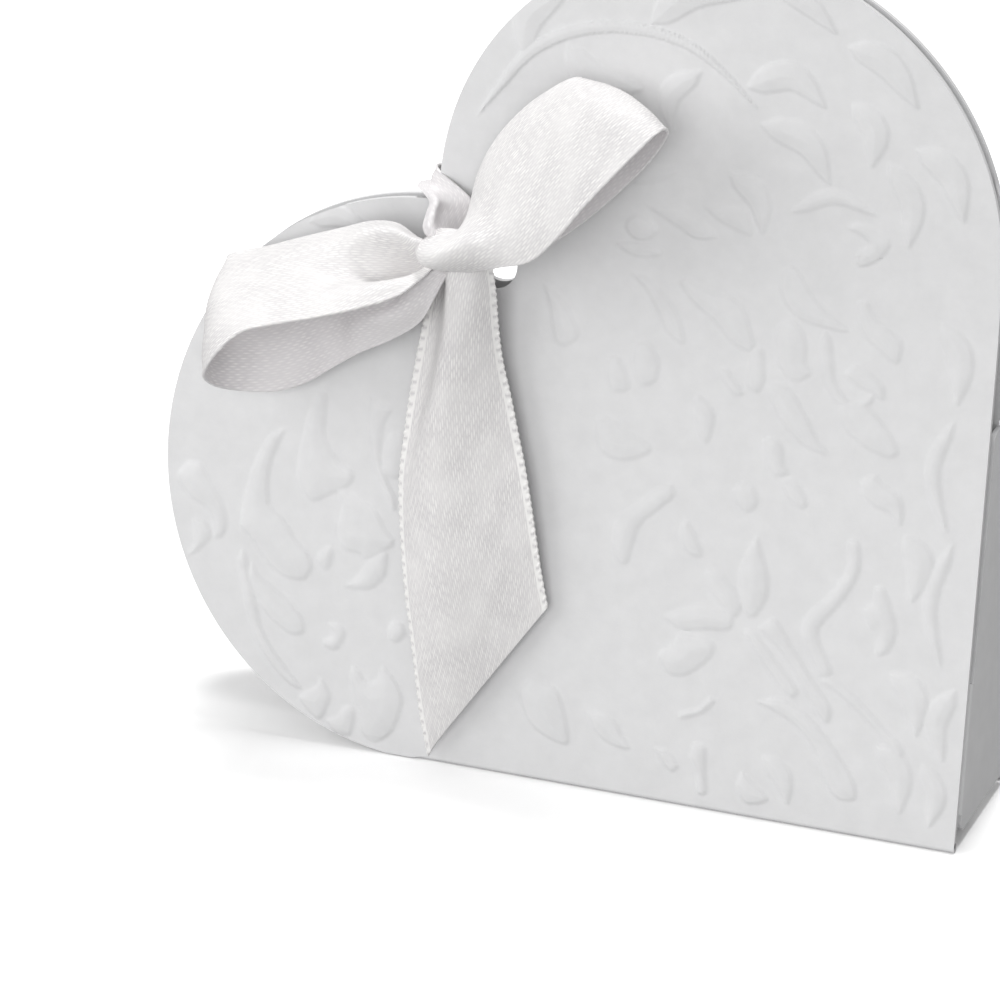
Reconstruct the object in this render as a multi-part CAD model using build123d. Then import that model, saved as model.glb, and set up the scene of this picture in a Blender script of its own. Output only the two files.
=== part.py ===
"""A heart-shaped favor box of embossed card, standing on one straight side and tied shut with a satin bow.

Millimetres, +Z up. The origin is the middle of the base's underside. X runs along the base towards the
heart's tip, and the front of the box faces -Y.
"""

import os
from math import asin, atan2, cos, hypot, radians, sin, sqrt, tan

from build123d import *

# The two hearts and the card they are cut from
heart_side = 56.0
card = 0.5
base_depth = 18.0
lobe_gap = 1.0
pinch_height = 51.0
bend_radius = 60.0

# Creased folds
fold_radius = 0.5
fold_clearance = 0.05

# Punched hole for the ribbon, on the heart's axis
hole_diameter = 5.0
hole_inset = 8.0

# Flap that closes the right side, and its lip
flap_foot = 1.3
flap_height = 40.0
flap_corner = 1.0
flap_end_gap = 0.5
lip_gap = 0.9
lip_length = 4.0
lip_foot = 3.0
lip_height = 13.0
lip_corner = 1.2

# Tongues that stand up from the two ends of the base
left_flap_width = 11.0
left_flap_height = 14.0
left_flap_corner = 4.0
dust_flap_gap = 0.5
dust_flap_width = 7.0
dust_flap_offset = 1.8
dust_flap_height = 9.0
dust_flap_corner = 2.0

# Satin ribbon and the ring it makes round the tie
ribbon_width = 15.0
ribbon_thickness = 0.4
strand_width = 2.6
strand_thickness = 1.2
strand_corner = 0.5
strand_rest = 0.5
strand_seat = 0.2
strand_inset = 0.6

# Knot of the bow, from the cleft
knot_width = 6.5
knot_height = 5.5
knot_depth = 6.4
knot_round = 2.0
knot_right = 2.1
knot_drop = 3.9
knot_clearance = 0.1

# Loops of the bow: the ribbon's two edges and its middle, from the knot out, round the turn and back.
# Each point is right of the cleft, up from it and out from the face of the front heart.
left_loop_upper_edge = [
    (0.5, -2.5, 4.5), (-5.5, -1.5, 3.5), (-13.0, -4.5, 2.5), (-19.0, -6.5, 3.5),
    (-20.5, -7.0, 3.0), (-21.0, -8.0, 2.0),
    (-20.0, -8.0, 1.5), (-15.0, -6.5, 1.0), (-8.5, -4.5, 1.5), (-2.5, -4.0, 3.0), (1.5, -3.5, 4.0),
]
left_loop_middle = [
    (-4.0, -5.0, 7.5), (-12.5, -6.5, 8.5), (-19.0, -9.0, 9.0),
    (-21.0, -11.5, 7.5), (-21.5, -13.0, 5.5),
    (-20.0, -14.0, 3.5), (-15.0, -13.5, 2.0), (-9.0, -10.5, 2.5), (-3.0, -8.0, 4.5),
]
left_loop_lower_edge = [
    (1.5, -5.5, 6.5), (-3.5, -7.5, 12.0), (-11.5, -9.5, 13.0), (-17.5, -13.5, 12.5),
    (-19.5, -16.0, 11.0), (-20.0, -18.0, 8.5),
    (-19.5, -19.5, 6.0), (-15.5, -20.5, 2.5), (-9.0, -16.5, 2.5), (-3.0, -13.0, 4.0), (1.5, -6.0, 5.5),
]
right_loop_upper_edge = [
    (2.5, -2.5, 4.5), (4.5, -0.5, 6.0), (5.0, 1.0, 5.0), (5.5, 5.0, 4.0), (10.5, 12.0, 3.5),
    (14.0, 14.5, 4.0), (15.5, 15.0, 3.5),
    (15.0, 14.0, 2.0), (10.0, 9.5, 1.5), (5.5, 2.5, 2.0), (3.5, -2.0, 4.0),
]
right_loop_middle = [
    (5.0, -1.5, 9.5), (8.5, 0.5, 9.5), (12.0, 5.0, 8.5), (17.0, 12.0, 8.0),
    (19.5, 14.5, 8.0), (21.0, 15.0, 6.0),
    (20.5, 13.0, 4.0), (15.0, 7.0, 2.0), (9.5, 0.5, 2.5),
]
right_loop_lower_edge = [
    (3.5, -5.0, 6.5), (7.5, -3.5, 7.5), (13.5, -1.0, 11.0), (19.0, 5.0, 11.5), (24.0, 11.0, 11.0),
    (26.0, 13.0, 10.5), (26.0, 13.0, 9.0),
    (25.5, 11.5, 6.5), (19.5, 4.5, 2.5), (13.0, -1.5, 2.5), (4.5, -4.5, 5.5),
]

# Tails of the bow
tail_lift = 3.4
rear_tail_lift = 1.0
tail_slant_angle = 11.0
tail_length = 46.5
tail_cut = 16.5
tail_neck = 5.5
tail_fan = 24.0
tail_right = 3.4
rear_tail_length = 38.0
rear_tail_slant_angle = 8.0
rear_tail_width = 11.0
rear_tail_cut = 9.0

os.makedirs("parts", exist_ok=True)

# The front face leans so that it touches the fold's outside and meets the upright lobes at the pinch
lobe_radius = heart_side / 2
axis_y = base_depth / 2 - fold_radius
axis_z = fold_radius
lobe_face = lobe_gap / 2 + card
lean_run = axis_y - lobe_face
lean_rise = pinch_height - axis_z
lean = atan2(lean_run, lean_rise) + asin(fold_radius / hypot(lean_run, lean_rise))
face_out = fold_radius
inner_out = fold_radius - card
fold_cut = fold_radius + fold_clearance
hole_x = -lobe_radius + hole_inset / sqrt(2)
hole_z = heart_side - hole_inset / sqrt(2)

# Local frame of the leaning front: right, up along the card, and out of the face, from the front crease
front_crease = (0, -axis_y, axis_z)
front_normal = (0, -cos(lean), sin(lean))
leaning_front = Plane(origin=front_crease, x_dir=(1, 0, 0), z_dir=front_normal)
rear_crease = (0, axis_y, axis_z)
rear_up = (0, -sin(lean), cos(lean))


def front_point(along, out):
    """A point of the leaning front's section, as Y and Z."""
    section_y = -axis_y + along * sin(lean) - out * cos(lean)
    section_z = axis_z + along * cos(lean) + out * sin(lean)
    return section_y, section_z


def front_line(out, height):
    """How far back the leaning front's line is at a height."""
    return -axis_y + (height - axis_z) * tan(lean) - out / cos(lean)


def rod_along_x(start, end, centre_y, centre_z, radius):
    """A round rod along X."""
    rod = Cylinder(radius, end - start, rotation=(0, 90, 0))
    return Pos((start + end) / 2, centre_y, centre_z) * rod


def rod_along_y(width, centre_x, centre_y, centre_z, radius):
    """A round rod along Y."""
    return Pos(centre_x, centre_y, centre_z) * Cylinder(radius, width, rotation=(90, 0, 0))


def heart_prism():
    """The heart's outline, run through the whole depth of the box."""
    bottom = Line((-lobe_radius, 0), (lobe_radius, 0))
    right = Line((lobe_radius, 0), (lobe_radius, heart_side))
    top_of_upper = (0, heart_side + lobe_radius)
    upper = ThreePointArc((lobe_radius, heart_side), top_of_upper, (-lobe_radius, heart_side))
    left_of_lobe = (-heart_side, lobe_radius)
    left = ThreePointArc((-lobe_radius, heart_side), left_of_lobe, (-lobe_radius, 0))
    outline = make_face((Curve() + [bottom, right, upper, left]).edges())
    return extrude(Plane.XZ * outline, amount=base_depth, both=True)


def leaning_heart():
    """The front heart: leaning card that bends upright at the pinch, with its hole and its crease."""
    foot = -2 * fold_radius
    crown = heart_side + lobe_radius + card
    outer_pinch = (-lobe_face, pinch_height)
    outer_top = (-lobe_face, crown)
    outer = FilletPolyline(front_point(foot, face_out), outer_pinch, outer_top, radius=bend_radius)
    inner_pinch = (card - lobe_face, pinch_height - card * tan(lean / 2))
    inner_top = (card - lobe_face, crown)
    inner_radius = bend_radius + card
    inner = FilletPolyline(front_point(foot, inner_out), inner_pinch, inner_top, radius=inner_radius)
    rim = Curve() + [outer, inner, Line(outer @ 0, inner @ 0), Line(outer @ 1, inner @ 1)]
    section = make_face(rim.edges())
    wall = extrude(Plane.YZ.offset(-heart_side - card) * section, amount=2 * heart_side)
    heart = wall & heart_prism()
    crease_start = -lobe_radius - fold_clearance
    crease_end = lobe_radius + fold_clearance
    heart -= rod_along_x(crease_start, crease_end, -axis_y, axis_z, fold_cut)
    below = Box(crease_end - crease_start, base_depth, 2 * axis_z)
    heart -= Pos(0, -axis_y, 0) * below
    heart -= Pos(hole_x, 0, hole_z) * Cylinder(hole_diameter / 2, base_depth, rotation=(90, 0, 0))
    return heart


# The base strip, with a rounded fold along both long edges and at each end tongue
left_axis_x = -lobe_radius + fold_radius
flap_inside = lobe_radius - card
dust_axis_x = flap_inside - dust_flap_gap - fold_radius
base_length = dust_axis_x - left_axis_x
base_strip = Box(base_length, 2 * axis_y, card)
base_panel = Pos((left_axis_x + dust_axis_x) / 2, 0, card / 2) * base_strip
base_panel += rod_along_x(-lobe_radius, lobe_radius, -axis_y, axis_z, fold_radius)
base_panel += rod_along_x(-lobe_radius, lobe_radius, axis_y, axis_z, fold_radius)
base_panel += rod_along_y(left_flap_width, left_axis_x, 0, axis_z, fold_radius)
base_panel += rod_along_y(dust_flap_width, dust_axis_x, dust_flap_offset, axis_z, fold_radius)
export_step(base_panel, "parts/base_panel.step")

front_panel = leaning_heart()
export_step(front_panel, "parts/front_panel.step")

# The back heart mirrors the front one and carries the side flap's fold on its straight right edge
side_axis_x = lobe_radius - fold_radius
side_axis = Plane(origin=(side_axis_x, axis_y, axis_z), x_dir=(1, 0, 0), z_dir=rear_up)
side_start = 2 * fold_radius + fold_clearance + flap_foot
side_end = (flap_height - axis_z) / cos(lean)
side_middle = Pos(0, 0, (side_start + side_end) / 2)
side_fold = side_axis * side_middle * Cylinder(fold_radius, side_end - side_start)
flap_room_top = side_end + flap_end_gap
flap_room = Box(2 * fold_radius, 2 * base_depth, flap_room_top)
flap_room_place = Pos(fold_radius, 0, flap_room_top / 2)
back_panel = mirror(leaning_heart(), about=Plane.XZ) - side_axis * flap_room_place * flap_room
back_panel += side_fold
export_step(back_panel, "parts/back_panel.step")

# The side flap narrows upwards between the two leaning hearts
lip_axis_out = inner_out - lip_gap - fold_radius
flap_corners = [
    (-front_line(0, flap_foot), flap_foot),
    (front_line(lip_axis_out, flap_foot), flap_foot),
    (front_line(lip_axis_out, flap_height), flap_height),
    (-front_line(0, flap_height), flap_height),
]
flap_outline = make_face(Polyline(*flap_corners, close=True).edges())
flap_outline = fillet(flap_outline.vertices().sort_by(Axis.X)[:2], flap_corner)
side_flap = extrude(Plane.YZ.offset(flap_inside) * flap_outline, amount=card)
side_flap -= side_axis * Cylinder(fold_cut, 4 * heart_side)
lip_axis = leaning_front * Pos(flap_inside, lip_foot + lip_height / 2, lip_axis_out)
side_flap += lip_axis * Cylinder(fold_radius, lip_height, rotation=(90, 0, 0))
export_step(side_flap, "parts/side_flap.step")

# The lip lies just behind the front heart
lip_outline = Pos(-lip_length / 2, 0) * Rectangle(lip_length, lip_height)
lip_outline = fillet(lip_outline.vertices().sort_by(Axis.X)[:2], lip_corner)
tuck_lip = lip_axis * Pos(0, 0, fold_radius - card) * extrude(lip_outline, amount=card)
tuck_lip -= lip_axis * Cylinder(fold_cut, 2 * lip_height, rotation=(90, 0, 0))
export_step(tuck_lip, "parts/tuck_lip.step")


def tongue(width, height, corner):
    """A tongue of card standing on its fold, drawn across and up."""
    outline = Pos(0, height / 2) * Rectangle(width, height)
    return fillet(outline.vertices().sort_by(Axis.Y)[-2:], corner)


left_outline = tongue(left_flap_width, left_flap_height, left_flap_corner)
left_place = Plane.YZ.offset(-lobe_radius) * Pos(0, axis_z)
left_end_flap = extrude(left_place * left_outline, amount=card)
left_end_flap -= rod_along_y(base_depth, left_axis_x, 0, axis_z, fold_cut)
export_step(left_end_flap, "parts/left_end_flap.step")

dust_outline = tongue(dust_flap_width, dust_flap_height, dust_flap_corner)
dust_outside = dust_axis_x + fold_radius
dust_place = Plane.YZ.offset(dust_outside - card) * Pos(dust_flap_offset, axis_z)
right_dust_flap = extrude(dust_place * dust_outline, amount=card)
right_dust_flap -= rod_along_y(base_depth, dust_axis_x, 0, axis_z, fold_cut)
export_step(right_dust_flap, "parts/right_dust_flap.step")

# The ribbon's ring goes down through both holes, up behind the back heart and over the cleft
ring_start = -strand_width / 2 - strand_seat
ring_end = hole_inset - hole_diameter / 2 + strand_inset
ring_depth = 2 * (lobe_face + strand_rest)
ring_long = ring_end - ring_start
ring_outside = RectangleRounded(
    ring_long + 2 * strand_thickness, ring_depth + 2 * strand_thickness, strand_corner + strand_thickness
)
ring_inside = RectangleRounded(ring_long, ring_depth, strand_corner)
cleft = (-lobe_radius, 0, heart_side)
down_axis = (1, 0, -1)
across_axis = (1, 0, 1)
ring_place = Plane(origin=cleft, x_dir=down_axis, z_dir=across_axis)
ring_flat = Pos((ring_start + ring_end) / 2, 0) * (ring_outside - ring_inside)
ribbon_through_loop = extrude(ring_place * ring_flat, amount=strand_width / 2, both=True)
export_step(ribbon_through_loop, "parts/ribbon_through_loop.step")

# The knot sits in front of the ring
ring_front = ring_depth / 2 + strand_thickness
knot_y = -ring_front - knot_clearance - knot_depth / 2
knot_centre = Vector(-lobe_radius + knot_right, knot_y, heart_side - knot_drop)
knot_plane = Plane(origin=knot_centre, x_dir=(1, 0, 0), z_dir=(0, -1, 0))


def knot_block(grow):
    """The knot's rounded block, or the room it needs."""
    block = Box(knot_width + 2 * grow, knot_height + 2 * grow, knot_depth + 2 * grow)
    return knot_plane * fillet(block.edges(), knot_round + grow)


bow_knot = knot_block(0)
knot_room = knot_block(knot_clearance)
export_step(bow_knot, "parts/bow_knot.step")


def bow_point(right, up, out):
    """A point of the bow, from the cleft and the face of the front heart."""
    height = heart_side + up
    face_y = min(front_line(face_out, height), -lobe_face)
    return Vector(-lobe_radius + right, face_y - out, height)


def bow_loop(upper_edge, middle, lower_edge):
    """A loop of ribbon, hollow inside and gathered into the knot at both ends."""
    uppers = [bow_point(*place) for place in upper_edge]
    lowers = [bow_point(*place) for place in lower_edge]
    first_middle = (uppers[0] + lowers[0]) / 2
    last_middle = (uppers[-1] + lowers[-1]) / 2
    middles = [first_middle, *(bow_point(*place) for place in middle), last_middle]
    sections = []
    for upper, here, lower, before, after in zip(
        uppers, middles, lowers, [first_middle, *middles], [*middles[1:], last_middle]
    ):
        half = (after - before).cross(lower - upper).normalized() * ribbon_thickness / 2
        corners = [upper + half, here + half, lower + half, lower - half, here - half, upper - half]
        sections.append(Wire.make_polygon(corners))
    return Solid.make_loft(sections, ruled=True) - knot_room


left_loop = bow_loop(left_loop_upper_edge, left_loop_middle, left_loop_lower_edge)
export_step(left_loop, "parts/left_loop.step")

right_loop = bow_loop(right_loop_upper_edge, right_loop_middle, right_loop_lower_edge)
export_step(right_loop, "parts/right_loop.step")


def tail(lift, slant, length, width, cut):
    """A tail of ribbon lying just off the leaning face, gathered under the knot and cut aslant at its end."""
    corners = [
        (-tail_neck / 2, 0),
        (tail_neck / 2, 0),
        (width / 2, -tail_fan),
        (width / 2, -length + cut),
        (-width / 2, -length),
        (-width / 2, -tail_fan),
    ]
    outline = make_face(Polyline(*corners, close=True).edges())
    tail_out = face_out + lift
    under_knot = knot_centre.Z - knot_height / 2 - knot_clearance
    tail_top = (under_knot - axis_z - (tail_out + ribbon_thickness) * sin(lean)) / cos(lean)
    corner_rise = tail_neck / 2 * sin(radians(slant))
    start = Pos(-lobe_radius + tail_right, tail_top - corner_rise, tail_out)
    return extrude(leaning_front * start * Rot(0, 0, slant) * outline, amount=ribbon_thickness)


front_tail = tail(tail_lift, tail_slant_angle, tail_length, ribbon_width, tail_cut)
export_step(front_tail, "parts/front_tail.step")

rear_tail = tail(rear_tail_lift, rear_tail_slant_angle, rear_tail_length, rear_tail_width, rear_tail_cut)
export_step(rear_tail, "parts/rear_tail.step")
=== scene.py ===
# %% [markdown]
# # A heart favor box tied with a satin bow
# The real thing is a folded sheet of embossed white card. Two hearts lean together over a
# narrow base and a satin ribbon ties them at the cleft. The measured solids come from the
# frame, in metres, with the base's underside at the origin and the front facing -Y. Everything
# below dresses those solids, so each piece is built in the same place and at the same size.

# %% Load the box's frame
from math import cos, pi, radians, sin, tan

import bpy
import numpy as np
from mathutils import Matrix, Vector


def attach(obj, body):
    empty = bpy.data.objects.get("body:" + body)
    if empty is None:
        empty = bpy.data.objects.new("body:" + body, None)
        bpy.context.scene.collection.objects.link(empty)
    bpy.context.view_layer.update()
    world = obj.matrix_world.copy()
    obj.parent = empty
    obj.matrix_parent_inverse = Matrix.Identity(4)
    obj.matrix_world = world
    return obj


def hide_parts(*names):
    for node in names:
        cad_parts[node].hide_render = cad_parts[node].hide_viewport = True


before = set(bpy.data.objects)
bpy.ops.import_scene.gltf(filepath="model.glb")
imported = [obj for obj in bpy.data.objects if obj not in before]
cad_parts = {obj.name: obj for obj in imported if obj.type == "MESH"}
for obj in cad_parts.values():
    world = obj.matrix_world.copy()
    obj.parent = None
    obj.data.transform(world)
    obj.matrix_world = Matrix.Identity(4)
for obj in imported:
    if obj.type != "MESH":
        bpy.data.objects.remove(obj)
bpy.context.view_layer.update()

MM = 0.001

# %% [markdown]
# ## The camera
# A photographer would stand a little to the right of the box and look down on it with a long
# lens, which keeps the heart's sides nearly parallel. The angles and the lens were worked out
# from the heart's outline, so the camera is placed by its angles around one aimed point
# rather than by eye.

# %% Aim a long lens at the middle of the picture
AIM = Vector((-20.117, -5.0, 27.49)) * MM
SIDEWAYS = radians(21.958)
DOWNWARDS = radians(22.918)
LENS, SENSOR = 166.82, 36.0
LENS_AWAY, NEAREST_SEEN = 0.45, 0.01
level = cos(DOWNWARDS)
toward_lens = Vector((sin(SIDEWAYS) * level, -cos(SIDEWAYS) * level, sin(DOWNWARDS)))
camera = bpy.data.objects.new("camera", bpy.data.cameras.new("camera"))
camera.data.lens = LENS
camera.data.sensor_width = SENSOR
camera.data.clip_start = NEAREST_SEEN
camera.location = AIM + toward_lens * LENS_AWAY
camera.rotation_euler = toward_lens.to_track_quat("Z", "Y").to_euler()
bpy.context.collection.objects.link(camera)
bpy.context.scene.camera = camera
bpy.context.scene.view_settings.view_transform = "Standard"
print("the camera stands at", [round(value, 3) for value in camera.location])

# %% [markdown]
# ## Table and light
# White card on a white table only shows its embossing when one side of each leaf is a little
# darker than the other. A big soft lamp to the left, shining down at a shallow slant, does
# that. A wide one in front, like a white wall behind the photographer, and a pale world fill
# the shadows, and a small one overhead keeps a firmer shadow close to the card. The lens, and
# anything shiny, sees the world as plain white. The table is a brighter white for the lens than
# for the light, so it looks white and still keeps the box's shadow.

# %% A helper that adds one shader node
def add_node(tree, kind, settings=None, **inputs):
    """A new node; an input is named by its socket, or by its number as i0, i1 and so on."""
    made = tree.nodes.new("ShaderNode" + kind)
    for key, value in (settings or {}).items():
        setattr(made, key, value)
    for key, value in inputs.items():
        socket = made.inputs[int(key[1:])] if key[1:].isdigit() else made.inputs[key.replace("_", " ")]
        if isinstance(value, bpy.types.NodeSocket):
            tree.links.new(value, socket)
        else:
            socket.default_value = value
    return made


def empty_tree(owner):
    owner.use_nodes = True
    owner.node_tree.nodes.clear()
    return owner.node_tree


def count(tree, operation, first, second=0.0):
    return add_node(tree, "Math", {"operation": operation}, i0=first, i1=second).outputs[0]


print("made the helpers add_node, empty_tree and count")

# %% The pale world
WORLD_LIGHT = 0.38
WHITE = (1, 1, 1, 1)
world = bpy.data.worlds.new("pale_studio")
bpy.context.scene.world = world
tree = empty_tree(world)
ray = add_node(tree, "LightPath").outputs
seen = count(tree, "MAXIMUM", ray["Is Camera Ray"], ray["Is Glossy Ray"])
seen = count(tree, "MAXIMUM", seen, ray["Is Transmission Ray"])
fill = add_node(tree, "Background", Color=WHITE, Strength=WORLD_LIGHT).outputs[0]
white = add_node(tree, "Background", Color=WHITE, Strength=1.0).outputs[0]
both = add_node(tree, "MixShader", i0=seen, i1=fill, i2=white)
add_node(tree, "OutputWorld", Surface=both.outputs[0])
print("world light", WORLD_LIGHT)

# %% The soft lamps
def soft_lamp(name, place, power, size):
    lamp = bpy.data.lights.new(name, "AREA")
    lamp.energy = power
    lamp.size = size
    holder = bpy.data.objects.new(name, lamp)
    holder.location = place
    holder.rotation_euler = (Vector(place) - AIM).to_track_quat("Z", "Y").to_euler()
    bpy.context.collection.objects.link(holder)
    print(name, power, "W")


soft_lamp("window_left", place=(-2.2, -1.4, 0.95), power=31.0, size=2.4)
soft_lamp("white_wall_front", place=(0.3, -2.4, 0.55), power=32.0, size=1.8)
soft_lamp("light_above", place=(0.0, 0.45, 2.2), power=26.0, size=0.6)

# %% The white table
TABLE_HALF = 3
TABLE_LIT, TABLE_SEEN = 0.4, 1.34
corners = [Vector(corner) * TABLE_HALF for corner in ((-1, -1, 0), (1, -1, 0), (1, 1, 0), (-1, 1, 0))]
table_top = bpy.data.meshes.new("table_top")
table_top.from_pydata(corners, [], [(0, 1, 2, 3)])
floor = bpy.data.objects.new("table_top", table_top)
bpy.context.collection.objects.link(floor)
table_white = bpy.data.materials.new("table_white")
tree = empty_tree(table_white)
ray = add_node(tree, "LightPath").outputs
lit = add_node(tree, "BsdfDiffuse", Color=(TABLE_LIT, TABLE_LIT, TABLE_LIT, 1)).outputs[0]
lens_white = add_node(tree, "BsdfDiffuse", Color=(TABLE_SEEN, TABLE_SEEN, TABLE_SEEN, 1)).outputs[0]
both = add_node(tree, "MixShader", i0=ray["Is Camera Ray"], i1=lit, i2=lens_white)
add_node(tree, "OutputMaterial", Surface=both.outputs[0])
table_top.materials.append(table_white)
print("a table", 2 * TABLE_HALF, "m wide")

# %% [markdown]
# ## The card's finish
# The card is a soft white board with a faint mottle and a fine felt-like tooth. A photograph
# of paper could be wrapped on it, but layered noise needs no picture and never repeats:
# one noise tints the board, and a finer one gives it its tooth.

# %% Soft white card
CARD_SHADE, CARD_COOL = 0.78, 1.006
MOTTLE_DARK, MOTTLE_PALE = (0.3, 0.965), (0.7, 1.02)
TOOTH_DEEP = 0.03 * MM


def card_finish(name, shade):
    card = bpy.data.materials.new(name)
    tree = empty_tree(card)
    place = add_node(tree, "TexCoord").outputs["Object"]
    mottle = add_node(tree, "TexNoise", Vector=place, Scale=420.0, Detail=5.0, Roughness=0.6).outputs[0]
    tooth = add_node(tree, "TexNoise", Vector=place, Scale=5200.0, Detail=3.0, Roughness=0.65).outputs[0]
    tint = add_node(tree, "ValToRGB", Fac=mottle)
    for stop, (position, lightness) in zip(tint.color_ramp.elements, (MOTTLE_DARK, MOTTLE_PALE)):
        stop.position = position
        stop.color = (shade * lightness, shade * lightness, shade * lightness * CARD_COOL, 1)
    dull = add_node(tree, "MapRange", Value=tooth, To_Min=0.62, To_Max=0.82).outputs[0]
    felt = add_node(tree, "Bump", Height=tooth, Strength=0.35, Distance=TOOTH_DEEP).outputs[0]
    board = add_node(tree, "BsdfPrincipled", Base_Color=tint.outputs[0], Roughness=dull, Normal=felt)
    board.inputs["Specular IOR Level"].default_value = 0.28
    add_node(tree, "OutputMaterial", Surface=board.outputs[0])
    return card


white_card = card_finish("white_card", CARD_SHADE)
print("card finish", white_card.name)

# %% [markdown]
# ## Smooth lines
# Leaves, stems and ribbon edges are all drawn as a few points with a soft curve through them.
# Blender's own curves could do it, but here the points on the curve are needed as numbers, so
# a short Catmull-Rom spline in numpy returns them at equal steps.

# %% A soft curve through a few points
SPAN_STEPS = 12


def smooth_line(points, steps):
    spots = np.asarray(points, float)
    spots = np.concatenate([2 * spots[:1] - spots[1:2], spots, 2 * spots[-1:] - spots[-2:-1]])
    before, start, end, after = spots[:-3, None], spots[1:-2, None], spots[2:-1, None], spots[3:, None]
    part = np.linspace(0, 1, SPAN_STEPS, endpoint=False)[None, :, None]
    square = 2 * before - 5 * start + 4 * end - after
    cube = 3 * start - before - 3 * end + after
    curve = 0.5 * (2 * start + (end - before) * part + square * part**2 + cube * part**3)
    curve = np.concatenate([curve.reshape(-1, spots.shape[1]), spots[-2:-1]])
    run = np.concatenate([[0], np.cumsum(np.linalg.norm(np.diff(curve, axis=0), axis=1))])
    stops = np.linspace(0, run[-1], steps)
    return np.stack([np.interp(stops, run, column) for column in curve.T], axis=1)


print("a curve of three points in five steps:", smooth_line([(0, 0), (1, 1), (2, 0)], 5).round(2).tolist())

# %% [markdown]
# ## The leaning face, and places picked in the picture
# The front heart leans in from its crease and bends upright at the pinch. The leaves on it and
# the folds of the bow were picked as places in the picture. Measuring each one would take a real
# box on the bench, so here a ray goes from the lens through the picked place and stops where it
# is so many millimetres in front of the face.

# %% Where the front heart's outer face lies, in millimetres
HALF_SIDE = 28.0
HEART_TALL = 3 * HALF_SIDE
CARD = 0.5
CREASE_Y, CREASE_Z = 8.5, 0.5
LEAN = radians(9.0087)
PINCH, BEND = 51.0, 60.0
LOBES_APART = 1.0
bend_run = BEND * tan(LEAN / 2)
bend_low, bend_high = PINCH - bend_run * cos(LEAN), PINCH + bend_run


def face_y(z):
    z = np.asarray(z, float)
    leaning = -CREASE_Y - CARD / cos(LEAN) + (z - CREASE_Z) * tan(LEAN)
    curve = np.clip(BEND**2 - (z - bend_high) ** 2, 0, None)
    bent = np.sqrt(curve) - BEND - LOBES_APART
    upright = np.where(z < bend_high, bent, -LOBES_APART)
    return np.where(z < bend_low, leaning, upright)


print("the face leans from y", face_y(0.0).round(2), "to", face_y(HEART_TALL).round(2), "mm")

# %% Send a ray through each picked place
PICTURE = 1000
RAY_ROUNDS = 20
eye, back_to_lens = np.array(camera.location) / MM, np.array(toward_lens)
rightward = np.array((cos(SIDEWAYS), sin(SIDEWAYS), 0))
upward = np.cross(back_to_lens, rightward)


def picked(places):
    """Points in mm, from places in the picture and how far each stands out from the face."""
    px, py, out = np.array(places, float).T
    side, drop = ((value / PICTURE - 0.5) * SENSOR / LENS for value in (px, py))
    ray = side[:, None] * rightward - drop[:, None] * upward - back_to_lens
    reach = np.full(len(px), LENS_AWAY / MM)
    for _ in range(RAY_ROUNDS):
        reach = (face_y(eye[2] + reach * ray[:, 2]) - out - eye[1]) / ray[:, 1]
    return eye + reach[:, None] * ray


half_way = PICTURE / 2
print("the picture's middle lies on the face at", picked([(half_way, half_way, 0)]).round(1).tolist())

# %% [markdown]
# ## The embossing
# The board was pressed between two plates cut with a floral scroll: broad leaves, buds and
# stems with clear sides and softly rounded tops. It could be painted as bump, but the leaves
# catch the light at the heart's edge and throw soft shadows, so they are raised in the mesh.
# Each leaf is a closed outline on the heart, and a point inside it is lifted by how deep
# inside it lies.

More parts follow.
